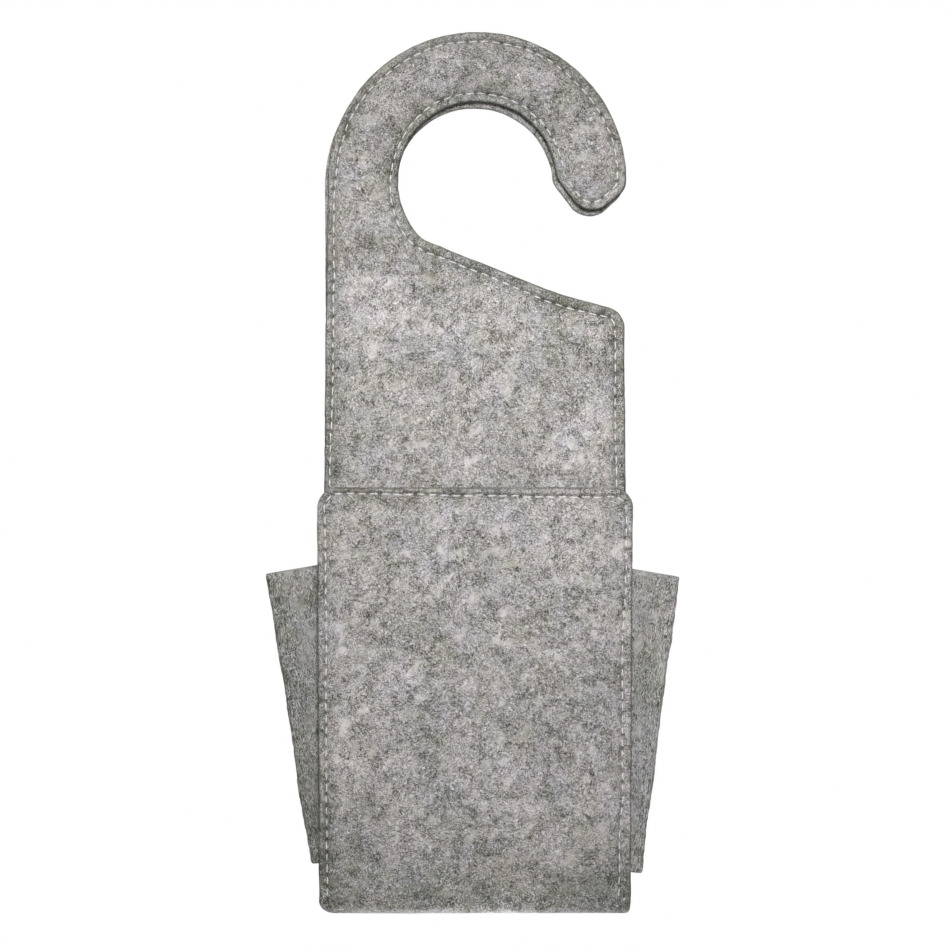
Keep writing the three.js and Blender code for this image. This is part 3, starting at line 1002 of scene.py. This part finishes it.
# Strokes, in millimetres, that show where noise lies between low and high. They add their weight to
# the felt's tone, less the weight of their mean share.
Stroke = namedtuple("Stroke", "length width low high weight mean")
DARK_FIBRE = Stroke(3.0, 0.12, 0.59, 0.70, -0.6, 0.065)
PALE_FIBRE = Stroke(2.6, 0.12, 0.59, 0.72, 0.25, 0.065)
HAIR = Stroke(7.0, 0.2, 0.6, 0.69, -0.6, 0.0)
DARK_STREAK = Stroke(10.0, 0.3, 0.54, 0.7, -0.34, 0.13)
PALE_STREAK = Stroke(8.0, 0.3, 0.56, 0.72, 0.08, 0.1)
DARK_STREAK_ANGLES = (86, 95)
PALE_STREAK_ANGLES = (83, 91)
STRAND_LENGTH = 1.9
STRAND_WIDTH = 0.11
STRAND_WEIGHT = 1.06

# How strokes curl: sizes in millimetres, the loops' share of a felt's curl, the reach of drawn felt
CURL_SIZE = 2.4
CURL_DETAIL = 2.0
LOOP_SIZE = 4.0
LOOP_SHARE = 1.3
DRAWN_SIZE = 8.0
DRAWN_REACH = 2.5

NAP_RELIEF = 0.8
STREAK_RELIEF = 1.2
RELIEF_MIDDLE = 0.5
FELT_FINISH = Finish(0.6, 0.0003, 0.96, 0.15)

# A kind of felt: its middle tone, how strong its patches, its grain and its fibres are, which way its
# fibres lie, how far they curl and the tint of the whole
Felt = namedtuple("Felt", "name tone patches grain fibres dark_angles pale_angles hair_angles curl tint")
PANEL_FELT = Felt(
    name="heathered_felt",
    tone=0.625,
    patches=1.0,
    grain=0.35,
    fibres=1.0,
    dark_angles=(8, 44, 80, 116, 152),
    pale_angles=(26, 62, 98, 134, 170),
    hair_angles=(5, 50, 95, 140),
    curl=1.3,
    tint=(1.0, 1.0, 1.0, 1),
)
GUSSET_FELT = Felt(
    name="gusset_felt",
    tone=0.549,
    patches=0.4,
    grain=0.2,
    fibres=0.65,
    dark_angles=(58, 74, 90, 106, 122),
    pale_angles=(50, 70, 88, 108, 128),
    hair_angles=(66, 92, 118),
    curl=1.2,
    tint=(0.98, 1.0, 1.01, 1),
)


def curled(tree, cloth, size, reach):
    """Cloth coordinates pushed about, so that strokes drawn on them curl."""
    inputs = {"Vector": cloth, "Scale": 1 / size, "Detail": CURL_DETAIL}
    drift = add_node(tree, "ShaderNodeTexNoise", inputs)
    moved = {0: drift.outputs["Color"], 1: (reach, reach, reach), 2: cloth}
    return add_node(tree, "ShaderNodeVectorMath", moved, operation="MULTIPLY_ADD").outputs["Vector"]


def strand_node(tree, vector, degrees, length, width):
    """Noise drawn out in one direction on the felt."""
    inputs = {
        "Vector": vector,
        "Rotation": (0, 0, math.radians(degrees)),
        "Scale": (length, width, width),
    }
    drawn = add_node(tree, "ShaderNodeMapping", inputs, vector_type="TEXTURE")
    return noise_node(tree, drawn.outputs["Vector"], size=1.0, detail=0.0)


def stroke_terms(tree, vector, angles, stroke, strength):
    """Terms of a weighted sum: thin strokes of one kind that lie in several directions."""
    terms = []
    for angle in angles:
        strand = strand_node(tree, vector, angle, stroke.length, stroke.width)
        terms.append((ranged(tree, strand, stroke.low, stroke.high), stroke.weight * strength, stroke.mean))
    return terms


def felt_nap(tree, felt, cloth, clumps):
    """Grain, strands and short fibres, which are livelier in some places than in others."""
    curls = curled(tree, cloth, CURL_SIZE, felt.curl)
    strands = [strand_node(tree, curls, angle, STRAND_LENGTH, STRAND_WIDTH) for angle in felt.pale_angles]
    fine = [
        (noise_node(tree, cloth, *GRAIN_NOISE), felt.grain, NOISE_MIDDLE),
        *((strand, STRAND_WEIGHT * felt.fibres, NOISE_MIDDLE) for strand in strands),
        *stroke_terms(tree, curls, felt.dark_angles, DARK_FIBRE, felt.fibres),
        *stroke_terms(tree, curls, felt.pale_angles, PALE_FIBRE, felt.fibres),
    ]
    stir = [
        (noise_node(tree, cloth, *LIVELY_NOISE), LIVELY_WEIGHT, NOISE_MIDDLE),
        (clumps, LIVELY_CLUMP_WEIGHT, NOISE_MIDDLE),
    ]
    return math_node(tree, "MULTIPLY", weighted_sum(tree, fine, 0.0), weighted_sum(tree, stir, 1.0))


def felt_tangles(tree, felt, cloth):
    """Bunches of long dark hairs, with the felt a little paler between them."""
    loops = curled(tree, cloth, LOOP_SIZE, LOOP_SHARE * felt.curl)
    hairs = stroke_terms(tree, loops, felt.hair_angles, HAIR, felt.fibres)
    bunches = ranged(tree, noise_node(tree, cloth, *BUNCH_NOISE), *BUNCH_RANGE)
    return math_node(tree, "MULTIPLY", weighted_sum(tree, hairs, TANGLE_LIFT * felt.fibres), bunches)


def felt_streaks(tree, cloth):
    """Streaks along a crease, where the felt is drawn out."""
    drawn = curled(tree, cloth, DRAWN_SIZE, DRAWN_REACH)
    streaks = stroke_terms(tree, drawn, DARK_STREAK_ANGLES, DARK_STREAK, 1.0)
    streaks += stroke_terms(tree, drawn, PALE_STREAK_ANGLES, PALE_STREAK, 1.0)
    creased = attribute_node(tree, "creased", "Fac")
    return math_node(tree, "MULTIPLY", weighted_sum(tree, streaks, 0.0), creased)


def felt_tinted(tree, felt, colour, cloth, patches, clumps, painted_shade_and_press):
    """Grey made warmer or cooler, and more olive or more lilac, from place to place, and more olive where
    the painted shade and the seam's press are strongest.
    """
    hue = weighted_sum(tree, [(noise_node(tree, cloth, *HUE_NOISE), 1.0, NOISE_MIDDLE)], HUE_MIDDLE)
    colour = tinted(tree, colour, colour_ramp(tree, hue, HUE_STOPS))
    terms = [
        (patches, PALE_PATCH_WEIGHT, NOISE_MIDDLE),
        (clumps, PALE_CLUMP_WEIGHT, NOISE_MIDDLE),
        (ranged(tree, painted_shade_and_press, *SHADED_TINT_RANGE), PALE_SHADED_WEIGHT, 0.0),
    ]
    paleness = weighted_sum(tree, terms, PALE_MIDDLE)
    colour = tinted(tree, colour, colour_ramp(tree, paleness, PALE_STOPS))
    return tinted(tree, colour, felt.tint)


def felt_material(felt):
    """Heathered felt: pale patches, darker clumps, grain and loose fibres, darker where the seam presses it
    and where shade is painted, paler where light is painted.
    """
    material, tree, shader = new_material(felt.name)
    cloth = attribute_node(tree, "cloth_mm", "Vector")
    painted_shade_and_press = attribute_node(tree, "painted_shade_and_press", "Fac")
    patches = noise_node(tree, cloth, *PATCH_NOISE)
    clumps = noise_node(tree, cloth, *CLUMP_NOISE)
    nap = felt_nap(tree, felt, cloth, clumps)
    streaks = felt_streaks(tree, cloth)
    terms = [
        (patches, PATCH_WEIGHT * felt.patches, NOISE_MIDDLE),
        (clumps, CLUMP_WEIGHT * felt.patches, NOISE_MIDDLE),
        (nap, 1.0, 0.0),
        (felt_tangles(tree, felt, cloth), 1.0, 0.0),
        (streaks, 1.0, 0.0),
        # Painted shade and the seam's press darken the felt; below zero it is painted light
        (painted_shade_and_press, PAINTED_SHADE_AND_PRESS_WEIGHT, 0.0),
    ]
    grey = colour_ramp(tree, weighted_sum(tree, terms, felt.tone), FELT_STOPS)
    colour = felt_tinted(tree, felt, grey, cloth, patches, clumps, painted_shade_and_press)
    relief = weighted_sum(tree, [(nap, NAP_RELIEF, 0.0), (streaks, STREAK_RELIEF, 0.0)], RELIEF_MIDDLE)
    give_surface(tree, shader, colour, relief, FELT_FINISH)
    return material


# Thread and board

# Noise as (scale, detail)
LINT_NOISE = (2500.0, 2.0)
LINT_STOPS = [(0.3, srgb(190, 188, 190)), (0.7, srgb(230, 228, 231))]
THREAD_FINISH = Finish(0.4, 0.0001, 0.7, 0.5)
PULP_NOISE = (900.0, 4.0)
PULP_STOPS = [(0.3, srgb(150, 142, 128)), (0.7, srgb(196, 188, 174))]
BOARD_FINISH = Finish(0.3, 0.0001, 0.9, 0.5)


def thread_material():
    """Twisted off-white sewing thread."""
    material, tree, shader = new_material("sewing_thread")
    lint = object_noise(tree, *LINT_NOISE)
    give_surface(tree, shader, colour_ramp(tree, lint, LINT_STOPS), lint, THREAD_FINISH)
    return material


def board_material():
    """Grey board with paper fibres."""
    material, tree, shader = new_material("grey_board")
    pulp = object_noise(tree, *PULP_NOISE)
    give_surface(tree, shader, colour_ramp(tree, pulp, PULP_STOPS), pulp, BOARD_FINISH)
    return material


# Assembly

felt = felt_material(PANEL_FELT)
gusset_felt = felt_material(GUSSET_FELT)
thread = thread_material()
board = board_material()

outer, inner = Blank(1), Blank(-1)
back_seam = seam_path(back_edge(), BACK_SEAM_INSETS, 1)
pocket_seam = seam_path(pocket_edge(), POCKET_SEAM_INSETS, -1)


def build_blank(name, blank, register, nodes, seed):
    seams = [Seam(blank.from_back(back_seam)), Seam(blank.from_pocket(pocket_seam))]
    obj, size, area = felt_blank(name, blank, register, seams, seed, felt)
    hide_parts(*nodes)
    return obj, seams


def bend_blank(obj):
    """Bakes a blank's placement into its mesh."""
    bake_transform(obj)


def build_stitches(name, blank, seam, body, node, seed):
    obj = stitch_row(name, blank, seam, seed, thread)
    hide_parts(node)
    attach(obj, body)


def build_gusset(wing, seed):
    name = wing.name
    obj, size, area = gusset_strip(wing, seed, gusset_felt)
    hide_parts(f"{name}_gusset_rear_leaf", f"{name}_gusset_front_leaf")
    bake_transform(obj)


def dress_board(node):
    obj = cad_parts[node]
    obj.data.materials.clear()
    obj.data.materials.append(board)


outer_blank, outer_seams = build_blank(
    "outer_blank", outer, HOOK_REGISTER, ["back_rear_ply", "outer_fold", "pocket_outer_ply"], seed=1
)
inner_blank, inner_seams = build_blank(
    "inner_blank", inner, np.zeros(2), ["back_front_ply", "inner_fold", "pocket_inner_ply"], seed=2
)
bend_blank(outer_blank)
bend_blank(inner_blank)
build_stitches("back_needle_stitches", inner, inner_seams[0], "back", "back_needle_thread", seed=11)
build_stitches("back_bobbin_stitches", outer, outer_seams[0], "back", "back_bobbin_thread", seed=12)
build_stitches(
    "pocket_needle_stitches", outer, outer_seams[1], "pocket_front", "pocket_needle_thread", seed=13
)
build_stitches(
    "pocket_bobbin_stitches", inner, inner_seams[1], "pocket_front", "pocket_bobbin_thread", seed=14
)
build_gusset(LEFT_WING, seed=3)
build_gusset(RIGHT_WING, seed=4)
dress_board("back_board")
dress_board("pocket_board")


# Stage, in metres

CAMERA_AIM = Vector((-0.00076, -0.010, -0.11652))
CAMERA_DISTANCE = 1.03
CAMERA_LENS = 98.58
SENSOR_WIDTH = 36
WHITE = (1, 1, 1, 1)
SKY_STRENGTH = 0.36
FLOOR_COLOUR = (0.7, 0.7, 0.7, 1)
FLOOR_HALF = 3.0
FLOOR_HEIGHT = -0.42

# Spot lamps: cone in degrees, radius of the soft lamp, power in watts
Lamp = namedtuple("Lamp", "name location target cone radius power")
LAMPS = [
    Lamp("key", (0.1, -0.95, 0.45), (0, 0, -0.092), 34, 0.2, 84),
    Lamp("low", (0, -0.01, -0.41), (0, -0.01, -0.29), 120, 0.08, 1.1),
    Lamp("rear", (-0.3, 1.05, 0.15), (0, 0, -0.1), 36, 0.2, 55),
    Lamp("left", (-1.15, 0.1, 0.1), (0, 0, -0.11), 36, 0.25, 10),
    Lamp("right", (1.15, 0.1, 0.1), (0, 0, -0.11), 36, 0.25, 10),
]


def build_camera():
    data = bpy.data.cameras.new("camera")
    data.lens = CAMERA_LENS
    data.sensor_width = SENSOR_WIDTH
    camera = bpy.data.objects.new("camera", data)
    camera.location = CAMERA_AIM - Vector((0, CAMERA_DISTANCE, 0))
    camera.rotation_euler = (math.pi / 2, 0, 0)
    bpy.context.scene.collection.objects.link(camera)
    bpy.context.scene.camera = camera


def seen_white(tree, lit, white):
    """White for rays from the camera and for mirrored and refracted ones, lit for all others."""
    path = add_node(tree, "ShaderNodeLightPath")
    seen = math_node(tree, "MAXIMUM", path.outputs["Is Camera Ray"], path.outputs["Is Glossy Ray"])
    seen = math_node(tree, "MAXIMUM", seen, path.outputs["Is Transmission Ray"])
    inputs = {0: seen, 1: lit.outputs[0], 2: white.outputs[0]}
    return add_node(tree, "ShaderNodeMixShader", inputs).outputs[0]


def build_world():
    world = bpy.data.worlds.new("studio")
    world.use_nodes = True
    tree = world.node_tree
    tree.nodes.clear()
    sky = add_node(tree, "ShaderNodeBackground", {"Color": WHITE, "Strength": SKY_STRENGTH})
    white = add_node(tree, "ShaderNodeBackground", {"Color": WHITE, "Strength": 1.0})
    add_node(tree, "ShaderNodeOutputWorld", {"Surface": seen_white(tree, sky, white)})
    bpy.context.scene.world = world


def floor_material():
    material = bpy.data.materials.new("pale_floor")
    material.use_nodes = True
    tree = material.node_tree
    tree.nodes.clear()
    matte = add_node(tree, "ShaderNodeBsdfDiffuse", {"Color": FLOOR_COLOUR})
    white = add_node(tree, "ShaderNodeEmission", {"Color": WHITE, "Strength": 1.0})
    add_node(tree, "ShaderNodeOutputMaterial", {"Surface": seen_white(tree, matte, white)})
    return material


def build_floor():
    mesh = bpy.data.meshes.new("floor")
    sides = [(-1, -1), (1, -1), (1, 1), (-1, 1)]
    corners = [(x * FLOOR_HALF, y * FLOOR_HALF, FLOOR_HEIGHT) for x, y in sides]
    mesh.from_pydata(corners, [], [(0, 1, 2, 3)])
    mesh.materials.append(floor_material())
    floor = bpy.data.objects.new("floor", mesh)
    bpy.context.scene.collection.objects.link(floor)


def build_lamp(lamp):
    data = bpy.data.lights.new(lamp.name, "SPOT")
    data.spot_size = math.radians(lamp.cone)
    data.spot_blend = 1.0
    data.shadow_soft_size = lamp.radius
    data.energy = lamp.power
    obj = bpy.data.objects.new(lamp.name, data)
    obj.location = lamp.location
    direction = Vector(lamp.target) - Vector(lamp.location)
    obj.rotation_euler = direction.to_track_quat("-Z", "Y").to_euler()
    bpy.context.scene.collection.objects.link(obj)


build_camera()
build_world()
build_floor()
for lamp in LAMPS:
    build_lamp(lamp)
bpy.context.scene.view_settings.view_transform = "Standard"
